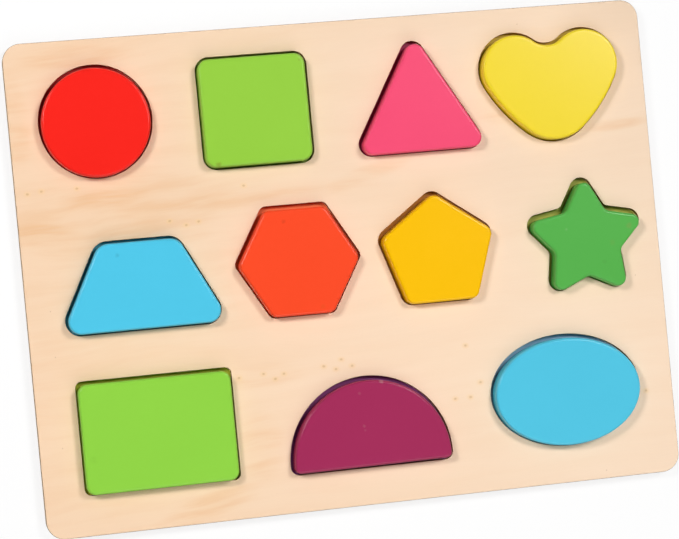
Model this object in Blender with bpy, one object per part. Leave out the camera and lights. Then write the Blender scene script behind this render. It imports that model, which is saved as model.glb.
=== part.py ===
"""Wooden shape puzzle: a plywood board with eleven recesses and a thick painted block for each.

Sizes are in metres. The board lies flat with its back on z = 0 and its rows running along X,
and the origin is the centre of its back. Every block stands in its own recess, proud of the
board, and lifts out straight up.
"""

import math
from dataclasses import dataclass, field
from typing import Callable

import bmesh
import bpy
from mathutils import Vector

# Board: a thin back panel under a frame panel with the cut-outs, glued together.
BOARD_WIDTH = 0.300
BOARD_DEPTH = 0.225
BOARD_CORNER_RADIUS = 0.0085
BOARD_EDGE_ROUND = 0.0006
BACK_THICKNESS = 0.0027
FRAME_THICKNESS = 0.0030
GLUE_LINE = 0.0003

# Blocks and how they sit.
BLOCK_THICKNESS = 0.0090
BLOCK_EDGE_ROUND = 0.0012
RECESS_CLEARANCE = 0.0012
SEAT_GAP = 0.0003

# Outlines of the blocks. A polygon's side is measured between its corners before rounding.
CIRCLE_RADIUS = 0.0247
SQUARE_SIDE = 0.0495
SQUARE_CORNER_RADIUS = 0.0050
TRIANGLE_SIDE = 0.0628
TRIANGLE_CORNER_RADIUS = 0.0046
HEART_LOBE_RADIUS = 0.0159
HEART_LOBE_SPACING = 0.0336
HEART_TIP_RADIUS = 0.0198
HEART_TIP_DROP = 0.0146
HEART_FLANK_RADIUS = 0.0750
HEART_NOTCH_RADIUS = 0.0106
TRAPEZOID_TOP = 0.0362
TRAPEZOID_BASE = 0.0769
TRAPEZOID_HEIGHT = 0.0398
TRAPEZOID_TOP_RADIUS = 0.0072
TRAPEZOID_BASE_RADIUS = 0.0059
HEXAGON_SIDE = 0.0283
HEXAGON_CORNER_RADIUS = 0.0041
HEXAGON_RECESS_RADIUS = 0.0037
PENTAGON_SIDE = 0.0328
PENTAGON_CORNER_RADIUS = 0.0044
STAR_TIP_REACH = 0.0310
STAR_WAIST_REACH = 0.0166
STAR_TIP_RADIUS = 0.0038
STAR_WAIST_RADIUS = 0.0047
RECTANGLE_LENGTH = 0.0696
RECTANGLE_HEIGHT = 0.0500
RECTANGLE_CORNER_RADIUS = 0.0043
RECTANGLE_RECESS_RADIUS = 0.0030
SEMICIRCLE_RADIUS = 0.0369
SEMICIRCLE_SHOULDER = 0.0027
SEMICIRCLE_CORNER_RADIUS = 0.0026
OVAL_LENGTH = 0.0702
OVAL_HEIGHT = 0.0502

# Margins and gaps between the recesses, left to right in a row and top to bottom between
# rows. They stretch alike when the board or a block is given another size.
TOP_ROW_GAPS = (0.0134, 0.0215, 0.0211, 0.0017, 0.0124)
MIDDLE_ROW_GAPS = (0.0171, 0.0082, 0.0091, 0.0176, 0.0090)
BOTTOM_ROW_GAPS = (0.0187, 0.0234, 0.0207, 0.0163)
ROW_TO_ROW_GAPS = (0.0115, 0.0178, 0.0201, 0.0177)

# How finely curves are cut into straight facets.
ARC_TOLERANCE = 0.00003
EDGE_ROUND_STEPS = 3
BOARD_ROUND_STEPS = 2

WELD_DISTANCE = 0.000001
FLAT_ANGLE = math.radians(0.1)
SMOOTH_ANGLE = math.radians(40)
CUTTER_OVERRUN = 0.002

PIECES = bpy.data.collections.new("shape_puzzle")
CUTTERS = bpy.data.collections.new("recess_cutters")


@dataclass
class Shape:
    """One block and its recess, cut from the same outline.

    slide is how far the block has slid off the middle of its recess, as a share of the play
    that it has there. The turns are in degrees. ease is added to RECESS_CLEARANCE for its own
    recess, and rise is how far the recess stands above the base line of its row.
    """

    name: str
    colour: tuple
    outline: Callable
    slide: tuple = (0.0, 0.0)
    block_turn: float = 0.0
    recess_turn: float = 0.0
    ease: float = 0.0
    rise: float = 0.0
    place: Vector = field(default_factory=lambda: Vector((0.0, 0.0)))

    @property
    def clearance(self):
        return RECESS_CLEARANCE + self.ease

    @property
    def recess(self):
        return self.outline(self.clearance)


def direction(angle):
    return Vector((math.cos(angle), math.sin(angle)))


def angle_of(vector):
    return math.atan2(vector.y, vector.x)


def arc(centre, radius, start, end):
    """Points on an arc whose chords stray from it by less than ARC_TOLERANCE."""
    step = 2 * math.acos(1 - ARC_TOLERANCE / radius)
    count = math.ceil(abs(end - start) / step)
    return [centre + radius * direction(start + (end - start) * i / count) for i in range(count + 1)]


def moved_out(corners, grow):
    """The same polygon, counter-clockwise, with each side moved outward by grow."""
    moved = []
    for i, corner in enumerate(corners):
        along_last = (corner - corners[i - 1]).normalized()
        along_next = (corners[(i + 1) % len(corners)] - corner).normalized()
        out_last = Vector((along_last.y, -along_last.x))
        out_next = Vector((along_next.y, -along_next.x))
        moved.append(corner + grow * (out_last + out_next) / (1 + out_last.dot(out_next)))
    return moved


def rounded(corners, radii):
    """A counter-clockwise polygon with an arc at each corner, inward corners included."""
    points = []
    for i, (corner, radius) in enumerate(zip(corners, radii)):
        to_last = (corners[i - 1] - corner).normalized()
        to_next = (corners[(i + 1) % len(corners)] - corner).normalized()
        half_corner = to_last.angle(to_next) / 2
        centre = corner + (to_last + to_next).normalized() * radius / math.sin(half_corner)
        middle = angle_of(corner - centre)
        half_sweep = math.pi / 2 - half_corner
        if to_next.x * to_last.y < to_next.y * to_last.x:
            half_sweep = -half_sweep
        points += arc(centre, radius, middle - half_sweep, middle + half_sweep)
    return points


def rounded_polygon(corners, radius, grow, recess_radius=None):
    """A polygon block for grow = 0, and its recess for a grow above 0.

    The recess follows the block at that distance, unless its corners have their own radius.
    """
    corner_radius = recess_radius if grow and recess_radius else radius + grow
    return rounded(moved_out(corners, grow), [corner_radius] * len(corners))


def box_corners(width, depth):
    return [Vector((sx * width / 2, sy * depth / 2)) for sx, sy in ((-1, -1), (1, -1), (1, 1), (-1, 1))]


def regular_corners(count, side, first_angle):
    reach = side / (2 * math.sin(math.pi / count))
    return [reach * direction(first_angle + math.tau * i / count) for i in range(count)]


def circle(grow=0.0):
    return arc(Vector((0.0, 0.0)), CIRCLE_RADIUS + grow, 0.0, math.tau)[:-1]


def square(grow=0.0):
    return rounded_polygon(box_corners(SQUARE_SIDE, SQUARE_SIDE), SQUARE_CORNER_RADIUS, grow)


def triangle(grow=0.0):
    corners = regular_corners(3, TRIANGLE_SIDE, math.pi / 2)
    return rounded_polygon(corners, TRIANGLE_CORNER_RADIUS, grow)


def pentagon(grow=0.0):
    corners = regular_corners(5, PENTAGON_SIDE, math.pi / 2)
    return rounded_polygon(corners, PENTAGON_CORNER_RADIUS, grow)


def hexagon(grow=0.0):
    corners = regular_corners(6, HEXAGON_SIDE, 0.0)
    return rounded_polygon(corners, HEXAGON_CORNER_RADIUS, grow, HEXAGON_RECESS_RADIUS)


def rectangle(grow=0.0):
    corners = box_corners(RECTANGLE_LENGTH, RECTANGLE_HEIGHT)
    return rounded_polygon(corners, RECTANGLE_CORNER_RADIUS, grow, RECTANGLE_RECESS_RADIUS)


def trapezoid(grow=0.0):
    low, high = -TRAPEZOID_HEIGHT / 2, TRAPEZOID_HEIGHT / 2
    base, top = TRAPEZOID_BASE / 2, TRAPEZOID_TOP / 2
    corners = [Vector(corner) for corner in ((-base, low), (base, low), (top, high), (-top, high))]
    radii = [TRAPEZOID_BASE_RADIUS] * 2 + [TRAPEZOID_TOP_RADIUS] * 2
    return rounded(moved_out(corners, grow), [radius + grow for radius in radii])


def star(grow=0.0):
    """Five points. A recess has wider tips and tighter waists than its block."""
    reaches = (STAR_TIP_REACH, STAR_WAIST_REACH)
    radii = (STAR_TIP_RADIUS + grow, STAR_WAIST_RADIUS - grow)
    corners = [reaches[i % 2] * direction(math.pi / 2 + math.pi * i / 5) for i in range(10)]
    return rounded(moved_out(corners, grow), [radii[i % 2] for i in range(10)])


def heart(grow=0.0):
    """Round lobes, a round tip and long flank arcs, each tangent to the next.

    The origin is midway between the centres of the lobes.
    """
    lobe, tip = HEART_LOBE_RADIUS + grow, HEART_TIP_RADIUS + grow
    flank, notch = HEART_FLANK_RADIUS + grow, HEART_NOTCH_RADIUS - grow
    lobe_centre = Vector((HEART_LOBE_SPACING / 2, 0.0))
    tip_centre = Vector((0.0, -HEART_TIP_DROP))
    notch_centre = Vector((0.0, math.sqrt((lobe + notch) ** 2 - lobe_centre.x**2)))
    # The flank's centre lies flank - lobe from one centre and flank - tip from the other.
    apart = (tip_centre - lobe_centre).length
    along = (tip_centre - lobe_centre).normalized()
    reach = (apart**2 + (flank - lobe) ** 2 - (flank - tip) ** 2) / (2 * apart)
    aside = math.sqrt((flank - lobe) ** 2 - reach**2)
    flank_centre = lobe_centre + along * reach + Vector((along.y, -along.x)) * aside
    flank_start = angle_of(tip_centre - flank_centre)
    flank_end = angle_of(lobe_centre - flank_centre)
    lobe_end = angle_of(notch_centre - lobe_centre)
    right = arc(tip_centre, tip, -math.pi / 2, flank_start)
    right += arc(flank_centre, flank, flank_start, flank_end)[1:]
    right += arc(lobe_centre, lobe, flank_end, lobe_end)[1:]
    right += arc(notch_centre, notch, lobe_end - math.pi, -math.pi / 2)[1:]
    left = [Vector((-point.x, point.y)) for point in reversed(right[1:-1])]
    return right + left


def semicircle(grow=0.0):
    """A half disc on short shoulders. The origin is the centre of its arc."""
    radius, corner = SEMICIRCLE_RADIUS + grow, SEMICIRCLE_CORNER_RADIUS + grow
    corner_height = corner - SEMICIRCLE_SHOULDER - grow
    corner_aside = math.sqrt((radius - corner) ** 2 - corner_height**2)
    shoulder = math.atan2(corner_height, corner_aside)
    right = Vector((corner_aside, corner_height))
    left = Vector((-corner_aside, corner_height))
    points = arc(right, corner, -math.pi / 2, shoulder)
    points += arc(Vector((0.0, 0.0)), radius, shoulder, math.pi - shoulder)[1:]
    points += arc(left, corner, math.pi - shoulder, 3 * math.pi / 2)[1:]
    return points


def oval(grow=0.0):
    """An ellipse, moved out along its own normal for the recess."""
    half_length, half_height = OVAL_LENGTH / 2, OVAL_HEIGHT / 2
    flattest_radius = half_length**2 / half_height
    count = math.ceil(math.pi / math.acos(1 - ARC_TOLERANCE / flattest_radius))
    points = []
    for i in range(count):
        on_circle = direction(math.tau * i / count)
        on_oval = Vector((half_length * on_circle.x, half_height * on_circle.y))
        normal = Vector((half_height * on_circle.x, half_length * on_circle.y)).normalized()
        points.append(on_oval + grow * normal)
    return points


TOP_ROW = (
    Shape("circle_block", (246, 42, 34), circle, slide=(-0.20, -0.93), rise=0.0005),
    Shape("square_block", (149, 206, 69), square, slide=(-0.62, -0.39), rise=-0.0002),
    Shape("triangle_block", (247, 86, 122), triangle, slide=(0.18, -0.95)),
    Shape("heart_block", (247, 222, 66), heart, slide=(-0.34, -0.54), block_turn=1.1, recess_turn=0.4),
)
MIDDLE_ROW = (
    Shape("trapezoid_block", (80, 198, 229), trapezoid, slide=(0.19, -0.49), ease=-0.00015, rise=0.0004),
    Shape("hexagon_block", (251, 77, 43), hexagon, slide=(-0.36, -0.94), block_turn=-0.2, ease=0.00015),
    Shape(
        "pentagon_block", (253, 195, 17), pentagon, slide=(0.19, -0.90), block_turn=0.2, recess_turn=-0.1,
        ease=0.0001,
    ),
    Shape(
        "star_block", (89, 178, 81), star, slide=(-0.07, -0.90), block_turn=-1.2, recess_turn=-1.0,
        ease=0.0004, rise=-0.0003,
    ),
)
BOTTOM_ROW = (
    Shape("rectangle_block", (146, 213, 71), rectangle, slide=(-0.48, -0.83), ease=-0.00025, rise=0.0007),
    Shape(
        "semicircle_block", (162, 48, 90), semicircle, slide=(-0.11, -0.36), block_turn=0.2,
        ease=0.0003, rise=-0.0004,
    ),
    Shape(
        "oval_block", (85, 197, 227), oval, slide=(-0.10, -0.79), block_turn=0.2, recess_turn=-0.5,
        rise=-0.0002,
    ),
)
ROWS = (TOP_ROW, MIDDLE_ROW, BOTTOM_ROW)
ROW_GAPS = (TOP_ROW_GAPS, MIDDLE_ROW_GAPS, BOTTOM_ROW_GAPS)
SHAPES = TOP_ROW + MIDDLE_ROW + BOTTOM_ROW

WOOD_COLOUR = (249, 219, 189)
WOOD_ROUGHNESS = 0.55
PAINT_ROUGHNESS = 0.32


def outline_box(points):
    """The lowest and highest corners of the box round an outline."""
    low = Vector((min(p.x for p in points), min(p.y for p in points)))
    high = Vector((max(p.x for p in points), max(p.y for p in points)))
    return low, high


def spread(total, sizes, gaps):
    """Where each size starts when the gaps fill what the sizes leave of the total."""
    stretch = (total - sum(sizes)) / sum(gaps)
    starts = []
    reached = 0.0
    for size, gap in zip(sizes, gaps):
        reached += gap * stretch
        starts.append(reached)
        reached += size
    return starts


def place_shapes():
    """Gives each shape its place: side by side along its row, on or near the row's base line."""
    boxes = {shape.name: outline_box(shape.recess) for shape in SHAPES}
    sizes = {name: high - low for name, (low, high) in boxes.items()}
    row_heights = [max(sizes[shape.name].y for shape in row) for row in ROWS]
    row_tops = spread(BOARD_DEPTH, row_heights, ROW_TO_ROW_GAPS)
    for row, gaps, top, height in zip(ROWS, ROW_GAPS, row_tops, row_heights):
        base = BOARD_DEPTH / 2 - top - height
        lefts = spread(BOARD_WIDTH, [sizes[shape.name].x for shape in row], gaps)
        for shape, left in zip(row, lefts):
            low = boxes[shape.name][0]
            shape.place = Vector((left - BOARD_WIDTH / 2 - low.x, base + shape.rise - low.y))


def linear(channel):
    value = channel / 255
    return value / 12.92 if value <= 0.04045 else ((value + 0.055) / 1.055) ** 2.4


def material(name, colour, roughness):
    made = bpy.data.materials.new(name)
    made.use_nodes = True
    shader = made.node_tree.nodes["Principled BSDF"]
    shader.inputs["Base Color"].default_value = (*map(linear, colour), 1.0)
    shader.inputs["Roughness"].default_value = roughness
    shader.inputs["Metallic"].default_value = 0.0
    return made


def outline_curve(name, outline, thickness, edge_round):
    """A filled 2D curve, as thick as asked and with both rims rounded inside the outline."""
    curve = bpy.data.curves.new(name, "CURVE")
    curve.dimensions = "2D"
    curve.fill_mode = "BOTH"
    curve.extrude = thickness / 2 - edge_round
    curve.bevel_depth = edge_round
    curve.bevel_resolution = EDGE_ROUND_STEPS - 1
    curve.offset = -edge_round
    spline = curve.splines.new("POLY")
    spline.points.add(len(outline) - 1)
    spline.use_cyclic_u = True
    for point, (x, y) in zip(spline.points, outline):
        point.co = (x, y, 0.0, 1.0)
    return bpy.data.objects.new(name, curve)


def flat_solid(name, outline, thickness, collection, edge_round=0.0):
    """A mesh object made from an outline curve, with its middle plane on its origin."""
    flat = outline_curve(name + "_outline", outline, thickness, edge_round)
    collection.objects.link(flat)
    graph = bpy.context.evaluated_depsgraph_get()
    mesh = bpy.data.meshes.new_from_object(flat.evaluated_get(graph))
    mesh.name = name
    bpy.data.objects.remove(flat)
    form = bmesh.new()
    form.from_mesh(mesh)
    bmesh.ops.remove_doubles(form, verts=form.verts, dist=WELD_DISTANCE)
    bmesh.ops.dissolve_limit(form, angle_limit=FLAT_ANGLE, verts=form.verts, edges=form.edges)
    bmesh.ops.recalc_face_normals(form, faces=form.faces)
    form.to_mesh(mesh)
    form.free()
    mesh.shade_smooth()
    mesh.set_sharp_from_angle(angle=SMOOTH_ANGLE)
    made = bpy.data.objects.new(name, mesh)
    collection.objects.link(made)
    return made


def round_rim(obj, side):
    """Rounds the outer rim of a panel, on top for side = 1 and underneath for side = -1."""
    form = bmesh.new()
    form.from_mesh(obj.data)
    rim = [edge for edge in form.edges if all(vert.co.z * side > 0 for vert in edge.verts)]
    bmesh.ops.bevel(
        form, geom=rim, offset=BOARD_EDGE_ROUND, segments=BOARD_ROUND_STEPS, profile=0.5, affect="EDGES"
    )
    form.to_mesh(obj.data)
    form.free()
    obj.data.shade_smooth()
    obj.data.set_sharp_from_angle(angle=SMOOTH_ANGLE)


def panel(name, thickness, underside, rounded_side, wood):
    """A panel of the board with rounded corners and one rounded rim."""
    corners = box_corners(BOARD_WIDTH, BOARD_DEPTH)
    outline = rounded(corners, [BOARD_CORNER_RADIUS] * len(corners))
    made = flat_solid(name, outline, thickness, PIECES)
    round_rim(made, rounded_side)
    made.location.z = underside + thickness / 2
    made.data.materials.append(wood)
    return made


def back_board(wood):
    return panel("back_board", BACK_THICKNESS, 0.0, -1, wood)


def frame_board(wood):
    """The panel that the recesses are cut through."""
    underside = BACK_THICKNESS + GLUE_LINE
    made = panel("frame_board", FRAME_THICKNESS, underside, 1, wood)
    for shape in SHAPES:
        cut = made.modifiers.new(shape.name + "_recess", "BOOLEAN")
        cut.operation = "DIFFERENCE"
        cut.object = recess_cutter(shape, underside + FRAME_THICKNESS / 2)
    return made


def recess_cutter(shape, height):
    depth = FRAME_THICKNESS + 2 * CUTTER_OVERRUN
    made = flat_solid(shape.name + "_cutter", shape.recess, depth, CUTTERS)
    made.location = (shape.place.x, shape.place.y, height)
    made.rotation_euler.z = math.radians(shape.recess_turn)
    made.hide_render = True
    made.display_type = "WIRE"
    return made


def block(shape):
    """A painted block, standing on the back panel and slid within its recess."""
    made = flat_solid(shape.name, shape.outline(), BLOCK_THICKNESS, PIECES, BLOCK_EDGE_ROUND)
    play = shape.clearance - SEAT_GAP
    place = shape.place + play * Vector(shape.slide)
    made.location = (place.x, place.y, BACK_THICKNESS + SEAT_GAP + BLOCK_THICKNESS / 2)
    made.rotation_euler.z = math.radians(shape.block_turn)
    made.data.materials.append(material(shape.name + "_paint", shape.colour, PAINT_ROUGHNESS))
    return made


def clear_scene():
    for obj in list(bpy.data.objects):
        bpy.data.objects.remove(obj)


def build():
    clear_scene()
    for collection in (PIECES, CUTTERS):
        bpy.context.scene.collection.children.link(collection)
    CUTTERS.hide_render = True
    place_shapes()
    puzzle = bpy.data.objects.new("puzzle", None)
    PIECES.objects.link(puzzle)
    wood = material("birch_plywood", WOOD_COLOUR, WOOD_ROUGHNESS)
    pieces = [back_board(wood), frame_board(wood)] + [block(shape) for shape in SHAPES]
    for piece in pieces:
        piece.parent = puzzle


build()
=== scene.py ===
"""Wooden shape puzzle: painted blocks in a plywood board, seen from almost straight above.

Lengths are in metres, except in the materials, whose patterns are laid out in millimetres of the
board: x along its long side, y along its short side and z up from its underside.
"""

import math
from dataclasses import dataclass
from typing import Callable

import bpy
from mathutils import Matrix, Vector


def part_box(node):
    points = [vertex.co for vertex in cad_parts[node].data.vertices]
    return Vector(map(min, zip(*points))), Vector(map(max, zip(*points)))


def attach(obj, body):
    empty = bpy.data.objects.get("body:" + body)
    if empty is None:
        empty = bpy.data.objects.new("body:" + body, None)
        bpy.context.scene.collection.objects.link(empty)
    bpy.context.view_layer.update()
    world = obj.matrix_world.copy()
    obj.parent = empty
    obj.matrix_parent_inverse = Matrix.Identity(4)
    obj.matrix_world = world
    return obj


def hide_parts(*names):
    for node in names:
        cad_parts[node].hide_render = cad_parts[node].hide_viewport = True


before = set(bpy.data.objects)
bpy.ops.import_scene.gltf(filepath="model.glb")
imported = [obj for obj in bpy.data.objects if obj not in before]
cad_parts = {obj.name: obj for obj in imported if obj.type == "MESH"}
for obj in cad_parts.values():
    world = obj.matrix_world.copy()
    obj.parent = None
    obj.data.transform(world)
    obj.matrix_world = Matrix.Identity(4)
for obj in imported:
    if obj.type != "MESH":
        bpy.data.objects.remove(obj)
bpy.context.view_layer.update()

# Sizes, in metres

BOARD_WIDTH = 0.300
BOARD_DEPTH = 0.225
BOARD_CORNER_RADIUS = 0.0085
BOARD_EDGE_ROUND = 0.0006
RECESS_RIM_EASE = 0.00018
BLOCK_EDGE_ROUND = 0.0012
RECESS_CLEARANCE = 0.0012
SEAT_GAP = 0.0003

CIRCLE_RADIUS = 0.0247
SQUARE_SIDE = 0.0495
SQUARE_CORNER_RADIUS = 0.0050
TRIANGLE_SIDE = 0.0628
TRIANGLE_CORNER_RADIUS = 0.0046
HEART_LOBE_RADIUS = 0.0159
HEART_LOBE_SPACING = 0.0336
HEART_TIP_RADIUS = 0.0198
HEART_TIP_DROP = 0.0146
HEART_FLANK_RADIUS = 0.0750
HEART_NOTCH_RADIUS = 0.0106
TRAPEZOID_TOP = 0.0362
TRAPEZOID_BASE = 0.0769
TRAPEZOID_HEIGHT = 0.0398
TRAPEZOID_TOP_RADIUS = 0.0072
TRAPEZOID_BASE_RADIUS = 0.0059
HEXAGON_SIDE = 0.0283
HEXAGON_CORNER_RADIUS = 0.0041
HEXAGON_RECESS_RADIUS = 0.0037
PENTAGON_SIDE = 0.0328
PENTAGON_CORNER_RADIUS = 0.0044
STAR_TIP_REACH = 0.0310
STAR_WAIST_REACH = 0.0166
STAR_TIP_RADIUS = 0.0038
STAR_WAIST_RADIUS = 0.0047
RECTANGLE_LENGTH = 0.0696
RECTANGLE_HEIGHT = 0.0500
RECTANGLE_CORNER_RADIUS = 0.0043
RECTANGLE_RECESS_RADIUS = 0.0030
SEMICIRCLE_RADIUS = 0.0369
SEMICIRCLE_SHOULDER = 0.0027
SEMICIRCLE_CORNER_RADIUS = 0.0026
OVAL_LENGTH = 0.0702
OVAL_HEIGHT = 0.0502

FLOOR_PAINT_FILM = 0.00006
FLOOR_PAINT_EDGE = 0.00002
FLOOR_PAINT_INSET = 0.00005
BOND_LINE_INSET = 0.00012

# How finely curves are cut and rims are closed

ARC_TOLERANCE = 0.000006
BLOCK_RIM_STEPS = 7
PANEL_RIM_STEPS = 4
FLOOR_PAINT_RIM_STEPS = 2
BOND_LINE_RIM_STEPS = 1
RIM_FLAT = 0.0004
WELD_DISTANCE = 0.000002
FLAT_FACING = 0.75


# Outlines


def direction(angle):
    return Vector((math.cos(angle), math.sin(angle)))


def angle_of(vector):
    return math.atan2(vector.y, vector.x)


def arc(centre, radius, start, end):
    step = 2 * math.acos(1 - ARC_TOLERANCE / radius)
    count = math.ceil(abs(end - start) / step)
    return [centre + radius * direction(start + (end - start) * i / count) for i in range(count + 1)]


def moved_out(corners, grow):
    """The same polygon, counter-clockwise, with each side moved outward by grow."""
    moved = []
    for i, corner in enumerate(corners):
        along_last = (corner - corners[i - 1]).normalized()
        along_next = (corners[(i + 1) % len(corners)] - corner).normalized()
        out_last = Vector((along_last.y, -along_last.x))
        out_next = Vector((along_next.y, -along_next.x))
        moved.append(corner + grow * (out_last + out_next) / (1 + out_last.dot(out_next)))
    return moved


def rounded(corners, radii):
    """A counter-clockwise polygon with an arc at each corner, inward corners included."""
    points = []
    for i, (corner, radius) in enumerate(zip(corners, radii)):
        to_last = (corners[i - 1] - corner).normalized()
        to_next = (corners[(i + 1) % len(corners)] - corner).normalized()
        half_corner = to_last.angle(to_next) / 2
        centre = corner + (to_last + to_next).normalized() * radius / math.sin(half_corner)
        middle = angle_of(corner - centre)
        half_sweep = math.pi / 2 - half_corner
        if to_next.x * to_last.y < to_next.y * to_last.x:
            half_sweep = -half_sweep
        points += arc(centre, radius, middle - half_sweep, middle + half_sweep)
    return points


def rounded_polygon(corners, radius, grow, recess_radius=None):
    """A rounded polygon. Its recess, the same one grown, can have a corner radius of its own."""
    corner_radius = recess_radius if grow and recess_radius else radius + grow
    return rounded(moved_out(corners, grow), [corner_radius] * len(corners))


def box_corners(width, depth):
    return [Vector((sx * width / 2, sy * depth / 2)) for sx, sy in ((-1, -1), (1, -1), (1, 1), (-1, 1))]


def regular_corners(count, side, first_angle):
    reach = side / (2 * math.sin(math.pi / count))
    return [reach * direction(first_angle + math.tau * i / count) for i in range(count)]


def circle(grow=0.0):
    return arc(Vector((0.0, 0.0)), CIRCLE_RADIUS + grow, 0.0, math.tau)[:-1]


def square(grow=0.0):
    return rounded_polygon(box_corners(SQUARE_SIDE, SQUARE_SIDE), SQUARE_CORNER_RADIUS, grow)


def triangle(grow=0.0):
    corners = regular_corners(3, TRIANGLE_SIDE, math.pi / 2)
    return rounded_polygon(corners, TRIANGLE_CORNER_RADIUS, grow)


def pentagon(grow=0.0):
    corners = regular_corners(5, PENTAGON_SIDE, math.pi / 2)
    return rounded_polygon(corners, PENTAGON_CORNER_RADIUS, grow)


def hexagon(grow=0.0):
    corners = regular_corners(6, HEXAGON_SIDE, 0.0)
    return rounded_polygon(corners, HEXAGON_CORNER_RADIUS, grow, HEXAGON_RECESS_RADIUS)


def rectangle(grow=0.0):
    corners = box_corners(RECTANGLE_LENGTH, RECTANGLE_HEIGHT)
    return rounded_polygon(corners, RECTANGLE_CORNER_RADIUS, grow, RECTANGLE_RECESS_RADIUS)


def trapezoid(grow=0.0):
    low, high = -TRAPEZOID_HEIGHT / 2, TRAPEZOID_HEIGHT / 2
    base, top = TRAPEZOID_BASE / 2, TRAPEZOID_TOP / 2
    corners = [Vector(corner) for corner in ((-base, low), (base, low), (top, high), (-top, high))]
    radii = [TRAPEZOID_BASE_RADIUS] * 2 + [TRAPEZOID_TOP_RADIUS] * 2
    return rounded(moved_out(corners, grow), [radius + grow for radius in radii])


def star(grow=0.0):
    reaches = (STAR_TIP_REACH, STAR_WAIST_REACH)
    radii = (STAR_TIP_RADIUS + grow, STAR_WAIST_RADIUS - grow)
    corners = [reaches[i % 2] * direction(math.pi / 2 + math.pi * i / 5) for i in range(10)]
    return rounded(moved_out(corners, grow), [radii[i % 2] for i in range(10)])


def heart(grow=0.0):
    """Round lobes, a round tip and long flank arcs, each tangent to the next."""
    lobe, tip = HEART_LOBE_RADIUS + grow, HEART_TIP_RADIUS + grow
    flank, notch = HEART_FLANK_RADIUS + grow, HEART_NOTCH_RADIUS - grow
    lobe_centre = Vector((HEART_LOBE_SPACING / 2, 0.0))
    tip_centre = Vector((0.0, -HEART_TIP_DROP))
    notch_centre = Vector((0.0, math.sqrt((lobe + notch) ** 2 - lobe_centre.x**2)))
    apart = (tip_centre - lobe_centre).length
    along = (tip_centre - lobe_centre).normalized()
    reach = (apart**2 + (flank - lobe) ** 2 - (flank - tip) ** 2) / (2 * apart)
    aside = math.sqrt((flank - lobe) ** 2 - reach**2)
    flank_centre = lobe_centre + along * reach + Vector((along.y, -along.x)) * aside
    flank_start = angle_of(tip_centre - flank_centre)
    flank_end = angle_of(lobe_centre - flank_centre)
    lobe_end = angle_of(notch_centre - lobe_centre)
    right = arc(tip_centre, tip, -math.pi / 2, flank_start)
    right += arc(flank_centre, flank, flank_start, flank_end)[1:]
    right += arc(lobe_centre, lobe, flank_end, lobe_end)[1:]
    right += arc(notch_centre, notch, lobe_end - math.pi, -math.pi / 2)[1:]
    left = [Vector((-point.x, point.y)) for point in reversed(right[1:-1])]
    return right + left


def semicircle(grow=0.0):
    """A half disc on short shoulders. The origin is the centre of its arc."""
    radius, corner = SEMICIRCLE_RADIUS + grow, SEMICIRCLE_CORNER_RADIUS + grow
    corner_height = corner - SEMICIRCLE_SHOULDER - grow
    corner_aside = math.sqrt((radius - corner) ** 2 - corner_height**2)
    shoulder = math.atan2(corner_height, corner_aside)
    right = Vector((corner_aside, corner_height))
    left = Vector((-corner_aside, corner_height))
    points = arc(right, corner, -math.pi / 2, shoulder)
    points += arc(Vector((0.0, 0.0)), radius, shoulder, math.pi - shoulder)[1:]
    points += arc(left, corner, math.pi - shoulder, 3 * math.pi / 2)[1:]
    return points


def oval(grow=0.0):
    """An ellipse, moved out along its own normal for the recess."""
    half_length, half_height = OVAL_LENGTH / 2, OVAL_HEIGHT / 2
    flattest_radius = half_length**2 / half_height
    count = math.ceil(math.pi / math.acos(1 - ARC_TOLERANCE / flattest_radius))
    points = []
    for i in range(count):
        on_circle = direction(math.tau * i / count)
        on_oval = Vector((half_length * on_circle.x, half_height * on_circle.y))
        normal = Vector((half_height * on_circle.x, half_length * on_circle.y)).normalized()
        points.append(on_oval + grow * normal)
    return points


def board_outline(inset=0.0):
    corners = box_corners(BOARD_WIDTH - 2 * inset, BOARD_DEPTH - 2 * inset)
    return rounded(corners, [BOARD_CORNER_RADIUS - inset] * len(corners))


# The eleven shapes


@dataclass
class Mark:
    """A small flaw in a block's paint, which can carry a painted glint: its place and size in millimetres of
    the board.

    dent is how deep it lies, in millimetres too. A flaw with a negative dent stands up.
    """

    x: float
    y: float
    size: float
    colour: tuple
    strength: float = 0.6
    dent: float = 0.0


@dataclass
class Shape:
    """A block with its colours, and how it lies in its recess.

    slide is how far it has slid off the middle, as a share of the play. Turns are in degrees. ease
    is added to RECESS_CLEARANCE for its own recess.
    """

    name: str
    outline: Callable
    paint: tuple
    recess_paint: tuple
    slide: tuple
    block_turn: float = 0.0
    recess_turn: float = 0.0
    ease: float = 0.0
    marks: tuple = ()

    @property
    def node(self):
        return self.name + "_block"

    @property
    def clearance(self):
        return RECESS_CLEARANCE + self.ease


OLIVE = (120, 105, 25)
SOOT = (70, 45, 35)
PALE = (235, 225, 215)

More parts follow.
